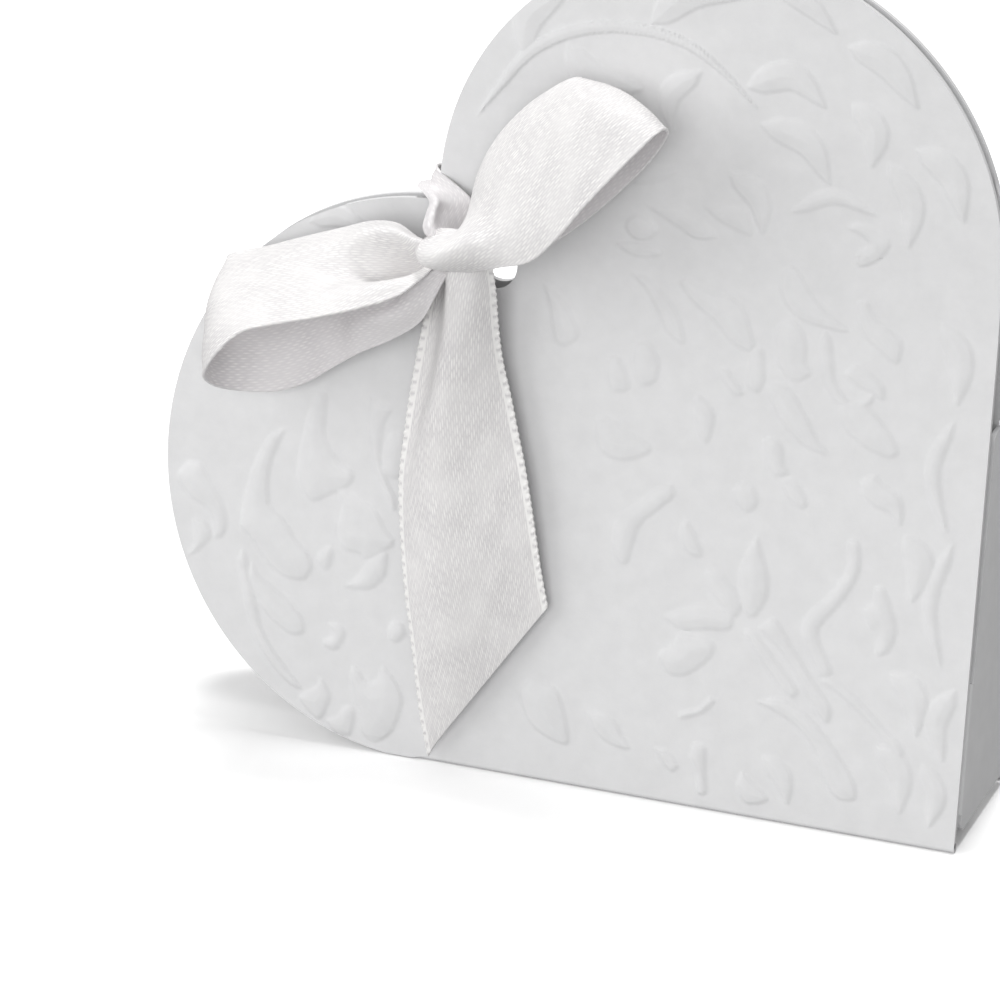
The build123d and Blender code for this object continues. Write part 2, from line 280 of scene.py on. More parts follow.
# %% The scroll's leaves and stems, as places in the picture: thousandths across and down
SCROLL_PICKS = [
    # left of the tail
    [(188, 462), (179, 473), (182, 484), (195, 499), (206, 506), (213, 519), (215, 536), (224, 533),
     (226, 517), (220, 498), (210, 481), (201, 464)],
    [(193, 518), (195, 533), (194, 546), (188, 555), (202, 546), (210, 536), (210, 529), (204, 520)],
    [(285, 429), (276, 449), (270, 465), (268, 487), (270, 505), (283, 519), (297, 541), (308, 554),
     (311, 569), (302, 579), (286, 576), (274, 568), (262, 553), (250, 536), (242, 527), (242, 517),
     (245, 498), (250, 477), (259, 455), (271, 435)],
    [(318, 393), (311, 409), (306, 427), (301, 448), (298, 467), (300, 482), (306, 494), (314, 500),
     (331, 493), (347, 486), (353, 474), (338, 461), (328, 444), (324, 429), (326, 396)],
    [(336, 488), (342, 500), (343, 508), (340, 522), (340, 537), (346, 549), (359, 553), (367, 559),
     (382, 552), (394, 542), (385, 529), (377, 513), (366, 503), (353, 494)],
    [(367, 560), (366, 566), (356, 578), (347, 586), (370, 588), (384, 576), (387, 563), (385, 552)],
    [(371, 397), (369, 415), (369, 432), (372, 453), (377, 472), (384, 489), (393, 510), (396, 501),
     (389, 484), (383, 467), (381, 449), (382, 430), (386, 418), (391, 409), (382, 403)],
    [(392, 432), (385, 446), (383, 461), (385, 473), (399, 477), (406, 458), (404, 437)],
    [(331, 546), (322, 551), (318, 560), (326, 569), (331, 562), (333, 553)],
    [(252, 563), (260, 576), (272, 586), (284, 596), (294, 607), (303, 620), (303, 632), (291, 633),
     (274, 621), (261, 605), (255, 593), (250, 577)],
    [(238, 560), (241, 574), (244, 593), (249, 617), (260, 645), (277, 671), (291, 684), (301, 687),
     (286, 667), (272, 647), (261, 626), (256, 601), (254, 586), (248, 570), (247, 560), (243, 550)],
    [(321, 678), (316, 687), (306, 692), (300, 699), (315, 716), (321, 717), (327, 706), (330, 695),
     (326, 685)],
    [(343, 708), (338, 716), (327, 720), (336, 732), (349, 735), (353, 724), (354, 711), (349, 706)],
    [(353, 666), (351, 678), (355, 695), (360, 713), (362, 731), (374, 742), (390, 733), (398, 717),
     (402, 700), (398, 686), (389, 673), (382, 667), (380, 677), (372, 683), (365, 681), (360, 671)],
    [(330, 624), (333, 635), (324, 641), (327, 647), (337, 648), (345, 633), (339, 624)],
    [(394, 621), (389, 629), (391, 640), (398, 641), (405, 633), (402, 624)],
    # right of the bow, the upper half
    [(544, 284), (550, 306), (555, 336), (563, 345), (578, 336), (572, 316), (562, 300), (554, 291)],
    [(632, 273), (646, 288), (657, 308), (666, 329), (678, 341), (685, 341), (679, 318), (671, 303),
     (661, 291), (646, 277)],
    [(680, 283), (694, 302), (714, 320), (732, 341), (748, 351), (754, 346), (751, 331), (743, 308),
     (730, 296), (712, 293), (694, 283), (685, 278)],
    [(753, 349), (749, 366), (748, 385), (757, 392), (764, 381), (764, 361), (762, 349)],
    [(626, 228), (631, 235), (640, 240), (650, 238), (657, 231), (651, 220), (638, 215), (628, 220)],
    [(617, 244), (628, 252), (643, 257), (661, 254), (651, 245), (633, 242)],
    [(646, 205), (661, 215), (681, 228), (696, 238), (715, 237), (706, 224), (694, 214), (676, 206)],
    [(705, 206), (719, 220), (734, 228), (751, 235), (751, 220), (744, 208)],
    [(782, 273), (781, 288), (786, 303), (800, 318), (820, 326), (848, 331), (827, 313), (811, 293),
     (800, 273), (791, 266)],
    [(777, 327), (776, 351), (781, 369), (795, 381), (810, 374), (806, 361), (805, 337), (793, 321),
     (783, 323)],
    [(825, 331), (819, 346), (820, 364), (826, 386), (839, 404), (855, 412), (870, 404), (875, 392),
     (865, 399), (850, 402), (836, 383), (833, 361), (831, 341)],
    [(845, 374), (855, 366), (870, 373), (883, 386), (883, 399), (870, 392), (858, 386)],
    [(840, 402), (841, 419), (850, 434), (868, 448), (888, 457), (898, 452), (890, 434), (875, 414),
     (858, 402)],
    [(768, 385), (772, 402), (780, 417), (790, 432), (807, 447), (826, 453), (819, 442), (805, 414),
     (793, 393), (780, 384)],
    [(858, 302), (858, 316), (864, 334), (878, 349), (897, 363), (901, 341), (880, 323), (872, 312),
     (867, 301)],
    [(848, 228), (860, 234), (869, 244), (858, 254), (860, 266), (878, 260), (890, 244), (878, 232),
     (860, 223)],
    # right of the bow, the lower half
    [(608, 359), (607, 376), (613, 390), (628, 389), (627, 376), (623, 365), (616, 356)],
    [(635, 345), (633, 366), (641, 384), (655, 381), (659, 364), (655, 351), (646, 342)],
    [(722, 369), (724, 381), (734, 394), (743, 393), (734, 379), (728, 371)],
    [(694, 399), (695, 417), (701, 437), (708, 441), (714, 419), (712, 409), (705, 400), (698, 395)],
    [(598, 417), (596, 434), (603, 452), (626, 460), (651, 449), (628, 432), (613, 421)],
    [(763, 441), (766, 457), (775, 475), (788, 473), (783, 462), (782, 446), (773, 437)],
    [(671, 485), (656, 490), (638, 503), (621, 515), (613, 533), (616, 556), (626, 563), (633, 543),
     (641, 523), (659, 508), (674, 495)],
    [(681, 523), (681, 538), (689, 553), (701, 556), (700, 548), (695, 534), (688, 523)],
    [(706, 572), (710, 588), (720, 603), (733, 617), (742, 606), (738, 593), (728, 581), (717, 572)],
    [(757, 537), (747, 553), (740, 573), (740, 591), (744, 610), (754, 616), (766, 598), (768, 578),
     (763, 556)],
    [(665, 617), (681, 609), (699, 606), (719, 609), (732, 617), (729, 629), (706, 629), (681, 629)],
    [(679, 631), (674, 644), (662, 651), (660, 659), (669, 673), (686, 674), (706, 661), (714, 646),
     (701, 636)],
    [(744, 631), (762, 661), (787, 694), (797, 690), (775, 659), (755, 633)],
    [(759, 628), (785, 656), (807, 694), (825, 722), (830, 707), (812, 679), (792, 646), (775, 620)],
    [(759, 702), (792, 722), (815, 750), (826, 782), (838, 798), (855, 798), (850, 774), (822, 732),
     (800, 710), (780, 699)],
    [(822, 682), (845, 699), (873, 727), (890, 750), (901, 765), (901, 747), (883, 727), (858, 699),
     (832, 677)],
    [(848, 540), (848, 568), (832, 593), (807, 616), (804, 639), (820, 674), (831, 672), (819, 641),
     (820, 626), (844, 598), (859, 571), (858, 543)],
    [(875, 588), (873, 603), (865, 610), (869, 624), (878, 634), (877, 654), (888, 651), (896, 631),
     (890, 606), (883, 588)],
    [(742, 483), (734, 490), (737, 503), (747, 512), (757, 503), (754, 488)],
    [(781, 480), (787, 495), (800, 508), (807, 503), (800, 488), (792, 480)],
    [(861, 483), (864, 495), (875, 506), (890, 513), (901, 525), (901, 500), (883, 483), (873, 475)],
    # along the bottom edge
    [(530, 679), (520, 689), (523, 707), (531, 723), (548, 737), (567, 743), (566, 722), (562, 704),
     (553, 687)],
    [(588, 711), (592, 724), (601, 737), (616, 746), (629, 748), (622, 735), (614, 721), (601, 714)],
    [(681, 712), (698, 708), (709, 698), (714, 702), (701, 713), (681, 718)],
    [(655, 748), (661, 760), (671, 771), (678, 765), (667, 751)],
    [(694, 743), (691, 757), (696, 772), (698, 792), (706, 792), (705, 770), (705, 747)],
    [(742, 772), (737, 787), (747, 803), (767, 800), (757, 786)],
]
SCROLL = [picked([(px, py, 0) for px, py in outline])[:, [0, 2]] for outline in SCROLL_PICKS]
print("leaves picked:", len(SCROLL))

# %% A leaf grown along a line, for the places the bow and the picture's edge hide
LEAF_STEPS, LEAF_FULLNESS = 9, 0.8


def leaf_outline(half_width, points):
    spine = smooth_line(points, LEAF_STEPS)
    side = np.gradient(spine, axis=0)[:, ::-1] * (1, -1)
    side = side / np.linalg.norm(side, axis=1, keepdims=True)
    part = np.linspace(0, 1, LEAF_STEPS) ** LEAF_FULLNESS
    swell = half_width * np.sin(pi * part)[:, None] ** LEAF_FULLNESS
    return np.concatenate([spine + side * swell, (spine - side * swell)[-2:0:-1]])


# Half the leaf's width, then its spine on the heart, across and up, in millimetres.
HIDDEN_LEAVES = [
    (1.3, [(-30.2, 44), (-28.6, 41), (-29, 37.5)]),
    (1.2, [(22.5, 50.5), (24.6, 47.5), (24.6, 43)]),
    (0.7, [(24.5, 41.5), (22.8, 36.5), (24.6, 31)]),
    (0.7, [(25.4, 30), (23.6, 24), (25.2, 18)]),
    (1.3, [(20.6, 30), (22.4, 27.6), (21.8, 23.8)]),
    (1.1, [(26.8, 16), (25.2, 12.6), (26.2, 9)]),
    (1.3, [(20.4, 16.6), (22.8, 14.8), (23.4, 11)]),
    (1.2, [(19.6, 9.4), (22, 7.2), (22.4, 3.2)]),
    (1.0, [(24.2, 8.2), (25.8, 5.8), (25.4, 2.4)]),
    (1.0, [(8.4, 6.4), (10.4, 4.8), (11.2, 2.2)]),
    (0.6, [(-24, 65), (-18, 72.5), (-10, 75.4), (-2, 74), (4, 69)]),
    (1.4, [(-19.4, 71.6), (-18.6, 75.4), (-14.6, 78.6)]),
    (1.5, [(-15, 73.2), (-12, 69.8), (-7.4, 69.6)]),
    (1.5, [(-6.6, 76), (-2.6, 79.4), (2.8, 79.8)]),
    (1.4, [(3, 71), (7.2, 72.6), (10.6, 70)]),
    (1.4, [(4.4, 67.6), (8.8, 66.4), (11.2, 62.6)]),
    (1.1, [(-1.6, 72), (-4.6, 69.4), (-4.4, 65.6)]),
    (1.4, [(12.6, 76), (16.4, 74.8), (19.4, 71)]),
    (1.4, [(19.4, 67), (22.8, 65), (24.2, 60.6)]),
    (1.2, [(16.8, 65.4), (19.2, 61.8), (19, 57.4)]),
    (0.7, [(7.6, 59.4), (11.6, 61.4), (15.8, 60.2)]),
    (1.0, [(5.4, 80.8), (8.6, 79.6), (11.4, 77.2)]),
    (1.1, [(-16.6, 67.4), (-14.4, 63.8), (-15, 59.8)]),
    (1.1, [(-10.4, 63.4), (-7.6, 61.4), (-3.8, 62)]),
    (1.2, [(1.4, 62.4), (4.2, 60.4), (4.8, 57)]),
    (1.3, [(13.2, 70.6), (15.4, 68.4), (15.2, 64.8)]),
    (1.2, [(-24.6, 34), (-22.4, 30.6), (-23, 26.6)]),
    (1.2, [(-24, 22), (-21.6, 18.4), (-22, 14)]),
    (1.1, [(-41.6, 52), (-38.6, 53), (-35.4, 51.6)]),
    (1.0, [(-48.4, 44), (-45.2, 41.4), (-43.6, 37.6)]),
]
SCROLL += [leaf_outline(half_width, points) for half_width, points in HIDDEN_LEAVES]
print("embossed outlines:", len(SCROLL))

# %% Lift the card inside each outline
LEAF_HEIGHT, LEAF_SIDE = 0.15, 0.55
LEAF_CROWN, CROWN_RUN, CROWN_FULLNESS = 0.26, 1.6, 0.8
NEAR_LEAF, RING_STEPS, TINY = 0.8, 150, 1e-9


def depth_inside(x, z, outline):
    """Millimetres from each point to the outline, below nought outside it."""
    ring = smooth_line(np.concatenate([outline, outline[:1]]), RING_STEPS)
    x0, z0, x1, z1 = ring[:-1, 0], ring[:-1, 1], ring[1:, 0], ring[1:, 1]
    spans = (z0 > z[:, None]) != (z1 > z[:, None])
    rise = np.where(np.abs(z1 - z0) < TINY, TINY, z1 - z0)
    crossed = spans & (x[:, None] < x0 + (z[:, None] - z0) * (x1 - x0) / rise)
    gap = np.hypot(x[:, None] - ring[:, 0], z[:, None] - ring[:, 1]).min(axis=1)
    return np.where(crossed.sum(axis=1) % 2 == 1, gap, -gap)


def embossing(x, z):
    lift = np.zeros(x.shape)
    for outline in SCROLL:
        low, high = outline.min(axis=0) - NEAR_LEAF, outline.max(axis=0) + NEAR_LEAF
        near = np.nonzero((x > low[0]) & (x < high[0]) & (z > low[1]) & (z < high[1]))[0]
        if len(near):
            deep = depth_inside(x[near], z[near], outline)
            side = np.clip(deep / LEAF_SIDE + 0.5, 0, 1)
            crown = np.clip(deep / CROWN_RUN, 0, 1) ** CROWN_FULLNESS
            raised = LEAF_HEIGHT * side**2 * (3 - 2 * side) + LEAF_CROWN * crown
            lift[near] = np.maximum(lift[near], raised)
    return lift


print("the widest leaves rise", round(LEAF_HEIGHT + LEAF_CROWN, 2), "mm")

# %% [markdown]
# ## The two hearts
# Each heart is the same blank: a square with a half circle on two sides. It leans in from its
# crease on the base and bends upright where the ribbon pinches the two together. A flat heart
# could be cut from a plane with a boolean, but rows of points that follow its outline give an
# even net for the embossing. The ribbon's hole is opened in the net and its rim is pulled
# on to a circle, then Solidify gives the board its thickness.

# %% Rows of points that fill the heart
FIRST_ROW, TOP_SHORT = 0.12, 0.012
LOW_RUN, TOP_RUN = 80, 44


def heart_net(step):
    turn_low = np.linspace(np.arccos(1 - FIRST_ROW / HALF_SIDE), pi, int(LOW_RUN / step))
    turn_top = np.linspace(0, pi / 2 - TOP_SHORT, int(TOP_RUN / step))[1:]
    z = np.concatenate([1 - np.cos(turn_low), 2 + np.sin(turn_top)]) * HALF_SIDE
    left = np.concatenate([-1 - np.sin(turn_low), -np.cos(turn_top)]) * HALF_SIDE
    right = np.concatenate([np.ones(turn_low.shape), np.cos(turn_top)]) * HALF_SIDE
    across = np.linspace(0, 1, int(HEART_TALL / step))
    return left[:, None] + (right - left)[:, None] * across, np.repeat(z[:, None], len(across), axis=1)


def net_faces(rows, columns):
    at = np.arange(rows * columns).reshape(rows, columns)
    return np.stack([at[:-1, :-1], at[:-1, 1:], at[1:, 1:], at[1:, :-1]], axis=-1).reshape(-1, 4)


print("a coarse heart has rows and columns:", heart_net(1.0)[0].shape)

# %% Open the ribbon's hole
HOLE_X, HOLE_Z, HOLE_R = -22.343, 50.343, 2.5


def open_hole(x, z, faces):
    """The faces outside the hole; the points on its rim move on to the circle."""
    r = np.hypot(x - HOLE_X, z - HOLE_Z)
    inside = np.hypot(x[faces].mean(axis=1) - HOLE_X, z[faces].mean(axis=1) - HOLE_Z) < HOLE_R
    rim = np.intersect1d(faces[inside], faces[~inside])
    x[rim] = HOLE_X + (x[rim] - HOLE_X) * HOLE_R / r[rim]
    z[rim] = HOLE_Z + (z[rim] - HOLE_Z) * HOLE_R / r[rim]
    return faces[~inside]


print("the hole is", 2 * HOLE_R, "mm wide")

# %% Make a piece from its points, and give card its thickness
CUT_EDGE = radians(50)


def make_piece(name, points, faces, *finishes):
    mesh = bpy.data.meshes.new(name)
    mesh.from_pydata((points * MM).tolist(), [], faces)
    mesh.shade_smooth()
    for finish in finishes:
        mesh.materials.append(finish)
    piece = bpy.data.objects.new(name, mesh)
    bpy.context.collection.objects.link(piece)
    return piece


def thicken(piece, thickness):
    board = piece.modifiers.new("board", "SOLIDIFY")
    board.thickness = thickness * MM
    board.offset = -1
    ready = bpy.data.meshes.new_from_object(piece.evaluated_get(bpy.context.evaluated_depsgraph_get()))
    piece.modifiers.clear()
    piece.data = ready
    ready.set_sharp_from_angle(angle=CUT_EDGE)
    print(piece.name, len(ready.vertices), "points")
    return piece


print("the card is", CARD, "mm thick")

# %% Press and bend the front heart
FLAP_FOLD_X, FLAP_TOP = 27.4, 40.6
CREASE_RUN, CORNER_RUN = 3, 2
PLAIN_EDGE, PLAIN_RUN, HOLE_RING = 0.2, 1.5, 1.0
FACE_LOW, FACE_HIGH, FACE_STEPS = -1, 85, 4300
heights = np.linspace(FACE_LOW, FACE_HIGH, FACE_STEPS + 1)
slopes = np.gradient(face_y(heights), (FACE_HIGH - FACE_LOW) / FACE_STEPS)


def pressed_heart(name, step, side):
    """The front heart where side is 1, and the back one where it is -1."""
    x, z = heart_net(step)
    faces = net_faces(*x.shape)
    x, z = x.ravel(), z.ravel()
    faces = open_hole(x, z, faces)
    # The straight bottom edge is drawn up to its crease, and the lobe's round edge isn't.
    z = z + CREASE_Z * np.clip(1 - z / CREASE_RUN, 0, 1) * np.clip((x + HALF_SIDE) / CORNER_RUN, 0, 1)
    # The back heart stops short at the side flap's fold.
    if side < 0:
        x = np.where(z < FLAP_TOP, np.minimum(x, FLAP_FOLD_X), x)
    # The card stays flat along its bottom edge and round the hole.
    above_edge = np.clip((z - PLAIN_EDGE) / PLAIN_RUN, 0, 1)
    round_hole = np.clip((np.hypot(x - HOLE_X, z - HOLE_Z) - HOLE_R) / HOLE_RING, 0, 1)
    scroll_x, scroll_z = (x, z) if side > 0 else (HALF_SIDE - z, HALF_SIDE - x)
    lift = embossing(scroll_x, scroll_z) * (above_edge * round_hole)
    slope = np.interp(z, heights, slopes)
    length = np.sqrt(1 + slope**2)
    points = np.stack([x, side * (face_y(z) - lift / length), z + lift * slope / length], axis=1)
    used, faces = np.unique(faces[:, ::side], return_inverse=True)
    heart = make_piece(name, points[used], faces.reshape(-1, 4).tolist(), white_card)
    return thicken(heart, CARD)


front_heart = pressed_heart("front_heart", step=0.2, side=1)
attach(front_heart, "front")
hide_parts("front_panel")

# %% The back heart takes the same scroll, turned about the heart's own middle line
back_heart = pressed_heart("back_heart", step=0.27, side=-1)
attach(back_heart, "back")
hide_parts("back_panel")

# %% [markdown]
# ## The satin, with its sheen painted in
# The bow is tied from one white satin ribbon 15 mm wide. Satin shows long floats, and their
# sheen is painted into the colour: each thread is a short bright dash along the ribbon, with
# painted shade between the dashes, and a beaded selvage runs down both edges of the tails. A
# picture of satin would stretch at the folds, so the weave is counted out from maps that hold
# millimetres along and across the ribbon: rows of floats, each row shifted and each float given
# a painted glint a little brighter or duller than the next.

# %% Rows of floats, with their sheen painted as bright dashes
FLOAT_LONG, FLOAT_WIDE, FLOAT_SHIFT = 1.15, 0.26, 0.4
ROW_JITTER, FLOAT_WANDER, FLOAT_ROUND = 0.4, 0.5, 1.8
FAINTEST_GLINT, HALF_LIT = 0.3, 0.5


def hump(tree, value, power):
    """Nought at every whole number and one half way between them."""
    wave = count(tree, "SINE", count(tree, "MULTIPLY", count(tree, "FRACT", value), pi))
    return count(tree, "POWER", wave, power)


# The floats' sheen is painted: a bright dash on each float and painted shade between them.
def painted_float_sheen(tree, place, sparse):
    along, across = add_node(tree, "SeparateXYZ", i0=place).outputs[:2]
    row = count(tree, "DIVIDE", across, FLOAT_WIDE)
    row_number = count(tree, "FLOOR", row)
    jitter = add_node(tree, "TexWhiteNoise", {"noise_dimensions": "1D"}, W=row_number).outputs[0]
    jitter = count(tree, "MULTIPLY", jitter, ROW_JITTER)
    shift = count(tree, "ADD", count(tree, "MULTIPLY", row_number, FLOAT_SHIFT), jitter)
    wander = add_node(tree, "TexNoise", Vector=place, Scale=0.9, Detail=1.0).outputs[0]
    step = count(tree, "ADD", count(tree, "DIVIDE", along, FLOAT_LONG), shift)
    step = count(tree, "ADD", step, count(tree, "MULTIPLY", wander, FLOAT_WANDER))
    painted_dash = count(tree, "MULTIPLY", hump(tree, step, sparse), hump(tree, row, FLOAT_ROUND))
    cell = add_node(tree, "CombineXYZ", X=row_number, Y=count(tree, "FLOOR", step)).outputs[0]
    # Each float gets a painted glint, a random brightness standing in for the light it catches.
    painted_glint = add_node(tree, "TexWhiteNoise", {"noise_dimensions": "2D"}, Vector=cell).outputs[0]
    painted_glint = add_node(tree, "MapRange", Value=painted_glint, To_Min=FAINTEST_GLINT).outputs[0]
    painted_dash = count(tree, "MULTIPLY", painted_dash, painted_glint)
    # Where the sheen is even, the painted dashes fade towards a mid grey.
    even_sheen = add_node(tree, "TexNoise", Vector=place, Scale=0.2, Detail=2.0).outputs[0]
    even_sheen = add_node(tree, "MapRange", Value=even_sheen, From_Min=0.35, From_Max=0.65, To_Min=0.55, To_Max=0.0)
    return add_node(tree, "Mix", i0=even_sheen.outputs[0], i2=painted_dash, i3=HALF_LIT).outputs[0]


print("satin floats of", FLOAT_LONG, "by", FLOAT_WIDE, "mm")

# %% The beaded selvage
SELVAGE, BEAD_STEP = 0.85, 1.15
OUTER_RAIL, INNER_RAIL = 0.2, 0.62


def beaded_selvage(tree, floats):
    place = add_node(tree, "UVMap", {"uv_map": "edge_mm"}).outputs[0]
    beside, edge = add_node(tree, "SeparateXYZ", i0=place).outputs[:2]
    bead = count(tree, "SINE", count(tree, "DIVIDE", count(tree, "MULTIPLY", beside, pi), BEAD_STEP))
    bead = count(tree, "ABSOLUTE", bead)
    bead = count(tree, "MAXIMUM", bead, count(tree, "LESS_THAN", edge, OUTER_RAIL))
    bead = count(tree, "MAXIMUM", bead, count(tree, "GREATER_THAN", edge, INNER_RAIL))
    selvage = count(tree, "LESS_THAN", edge, SELVAGE)
    return add_node(tree, "Mix", i0=selvage, i2=floats, i3=bead).outputs[0]


print("a selvage of", SELVAGE, "mm with a bead every", BEAD_STEP, "mm")

# %% White satin with painted sheen, a bright face and a duller back
LIT_FROM, GAP_DULLER = 0.8, 0.2
THREAD_DEEP = 0.05 * MM
SATIN_SHINE = {"Specular IOR Level": 0.36, "Sheen Weight": 0.06, "Anisotropic": 0.4}


def satin_with_painted_sheen(name, lit, gap, dull, sparse):
    satin = bpy.data.materials.new(name)
    tree = empty_tree(satin)
    place = add_node(tree, "UVMap", {"uv_map": "ribbon_mm"}).outputs[0]
    weave_and_sheen = beaded_selvage(tree, painted_float_sheen(tree, place, sparse))
    # The light colour paints the floats' sheen and the darker gap colour paints the shade between them.
    tint = add_node(tree, "ValToRGB", Fac=weave_and_sheen)
    low, high = tint.color_ramp.elements
    low.color = gap
    high.color = lit
    high.position = LIT_FROM
    gloss = add_node(tree, "MapRange", Value=weave_and_sheen, To_Min=dull + GAP_DULLER, To_Max=dull).outputs[0]
    raised = add_node(tree, "Bump", Height=weave_and_sheen, Strength=0.55, Distance=THREAD_DEEP).outputs[0]
    cloth = add_node(tree, "BsdfPrincipled", Base_Color=tint.outputs[0], Roughness=gloss, Normal=raised)
    for key, value in SATIN_SHINE.items():
        cloth.inputs[key].default_value = value
    add_node(tree, "OutputMaterial", Surface=cloth.outputs[0])
    return satin


# lit is the painted sheen on a float, and gap the painted shade between floats.
satin_face = satin_with_painted_sheen(
    "satin_face", lit=(0.94, 0.93, 0.915, 1), gap=(0.69, 0.675, 0.68, 1), dull=0.36, sparse=0.9)
satin_back = satin_with_painted_sheen(
    "satin_back", lit=(0.92, 0.9, 0.9, 1), gap=(0.73, 0.71, 0.72, 1), dull=0.5, sparse=2.5)
print("satin finishes:", satin_face.name, satin_back.name)

# %% [markdown]
# ## A stretch of ribbon
# Between the knot and its end each part of the ribbon is a soft strip. A cloth simulation could
# tie a bow, but every fold has its place here, so each stretch is lofted: a few smooth lines run
# along it, more curves run across them, and the net gets a thin body with a face and a back.
# Columns lie closer together near the edges, where tiny picots need them.

# %% A net across the lines that run along a stretch
ACROSS_STEPS = 240


def unit(vectors):
    return vectors / np.maximum(np.linalg.norm(vectors, axis=-1, keepdims=True), TINY)


def woven_net(lines, rows, columns):
    along = np.stack([smooth_line(line, rows) for line in lines], axis=1)
    fine = np.stack([smooth_line(row, ACROSS_STEPS) for row in along])
    place = (0.5 - 0.5 * np.cos(np.linspace(0, pi, columns))) * (ACROSS_STEPS - 1)
    low = np.clip(place.astype(int), 0, ACROSS_STEPS - 2)
    part = (place - low)[None, :, None]
    return fine[:, low] * (1 - part) + fine[:, low + 1] * part


def ribbon_counts(net):
    """Millimetres down the ribbon, over it, and in from its nearer edge."""
    down = np.cumsum(np.linalg.norm(np.diff(net, axis=0, prepend=net[:1]), axis=2), axis=0)
    over = np.cumsum(np.linalg.norm(np.diff(net, axis=1, prepend=net[:, :1]), axis=2), axis=1)
    return down, over, np.minimum(over, over[:, -1:] - over)


flat_strip = woven_net([[(0, 0, 0), (9, 0, 0)], [(0, 4, 0), (9, 4, 0)]], rows=4, columns=5)
print("a flat strip's columns lie at", ribbon_counts(flat_strip)[1][0].round(2).tolist(), "mm")

# %% Picots, soft ripples and thickness
PICOT_STEP, PICOT_R, PICOT_SLIM = 0.68, 0.24, 0.65
PICOT_PUSH, PICOT_FADE = 0.05, 0.18
RIBBON_THICK, EDGE_RUN, EDGE_THIN = 0.22, 0.15, 0.05
RIPPLE_DOWN, RIPPLE_OVER, RIPPLE_START, RIPPLE_RUN = 0.9, 0.8, 0.4, 2
SWAY, SWAY_OVER = 1.7, 0.5


def soft_body(net, ripple, picot):
    """The rippled net, and half the ribbon's thickness at each of its points."""
    down, over, edge = ribbon_counts(net)
    first_half = np.arange(net.shape[1]) < net.shape[1] // 2
    beat = np.cos(2 * pi * np.where(first_half, down[:, :1], down[:, -1:]) / PICOT_STEP)
    cross = unit(np.gradient(net, axis=1))
    face = unit(np.cross(unit(np.gradient(net, axis=0)), cross))
    push = PICOT_PUSH * picot * beat * np.exp(-edge / PICOT_FADE)
    sway = SWAY * np.sin(over * SWAY_OVER)
    wave = np.sin(down * RIPPLE_DOWN + sway) * np.sin(over * RIPPLE_OVER + RIPPLE_START)
    wave = wave * np.clip(edge / RIPPLE_RUN, 0, 1)
    net = net + cross * np.where(first_half, -push, push)[..., None] + face * (ripple * wave)[..., None]
    roll = PICOT_R * (PICOT_SLIM + (1 - PICOT_SLIM) * picot * beat)
    bead = 2 * np.sqrt(np.clip(roll**2 - (edge - roll) ** 2, 0, None))
    thick = np.maximum(bead, RIBBON_THICK * np.clip(edge / EDGE_RUN, EDGE_THIN, 1))
    return net, face * thick[..., None] / 2


def closed_faces(rows, columns):
    """The quads of the ribbon's face, of its back, and of the wall round its rim."""
    at = np.arange(rows * columns).reshape(rows, columns)
    top = net_faces(rows, columns)
    rim = np.concatenate([at[0], at[1:, -1], at[-1, -2::-1], at[-2:0:-1, 0]])
    after = np.roll(rim, -1)
    wall = np.stack([after, rim, rim + at.size, after + at.size], axis=1)
    return np.concatenate([top, top[:, ::-1] + at.size, wall]).tolist()


print("a ribbon", RIBBON_THICK, "mm thick with", 2 * PICOT_R, "mm picots")

# %% Loft a stretch of ribbon
RIBBON_WIDE, ROW_STEP, MEASURE_STEPS = 15.0, 0.16, 200
PLAIN_PICOT = 0.1


def lay_weave(piece, layer, counts):
    """Give each corner of the piece the count of the net's point under it."""
    flat = counts.reshape(-1, 2)
    corners = np.empty(len(piece.data.loops), np.int32)
    piece.data.loops.foreach_get("vertex_index", corners)
    piece.data.uv_layers.new(name=layer).data.foreach_set("uv", flat[corners % len(flat)].ravel())


def ribbon_piece(name, lines, columns=44, ripple=0.04, face_out=1, picot=PLAIN_PICOT):
    fine_lines = [smooth_line(line, MEASURE_STEPS) for line in lines]
    length = max(np.linalg.norm(np.diff(line, axis=0), axis=1).sum() for line in fine_lines)
    rows = int(length / ROW_STEP)
    laid = woven_net(lines, rows, columns)
    net, half = soft_body(laid, ripple, picot)
    points = np.concatenate([(net + half).reshape(-1, 3), (net - half).reshape(-1, 3)])
    piece = make_piece(name, points, closed_faces(rows, columns), *(satin_face, satin_back)[::face_out])
    down, over, edge = ribbon_counts(laid)
    beyond = SELVAGE * (1 - picot) / (1 - PLAIN_PICOT)
    lay_weave(piece, "ribbon_mm", np.stack([down, over + (RIBBON_WIDE - over[:, -1:]) / 2], axis=2))
    lay_weave(piece, "edge_mm", np.stack([down, edge + beyond], axis=2))
    quads = (rows - 1) * (columns - 1)
    finish_number = np.zeros(len(piece.data.polygons), np.int32)
    finish_number[quads:2 * quads] = 1
    piece.data.polygons.foreach_set("material_index", finish_number)
    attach(piece, "front")
    lead, side = net[1:, :-1] - net[:-1, :-1], net[:-1, 1:] - net[:-1, :-1]
    area = np.linalg.norm(np.cross(lead, side), axis=2).sum()
    print(name, "is", round(length, 1), "mm long with", round(area), "mm2 of ribbon")
    return piece


print("a ribbon", RIBBON_WIDE, "mm wide in rows of", ROW_STEP, "mm")

# %% [markdown]
# ## The bow's two loops
# Each loop leaves the knot as a narrow pleat, opens to the ribbon's full width, turns over and
# comes back under itself. A bent plane could be pulled into shape by hand, but a loop is easier
# to keep true as stations along the ribbon: its upper edge, its lower edge, and how far it
# swells at a quarter, half and three quarters of the way between them. Each edge is a place in
# the picture and its distance in front of the heart.

# %% The lines of a loop, from its two edges and how far it swells between them
QUARTERS = (0.25, 0.5, 0.75)


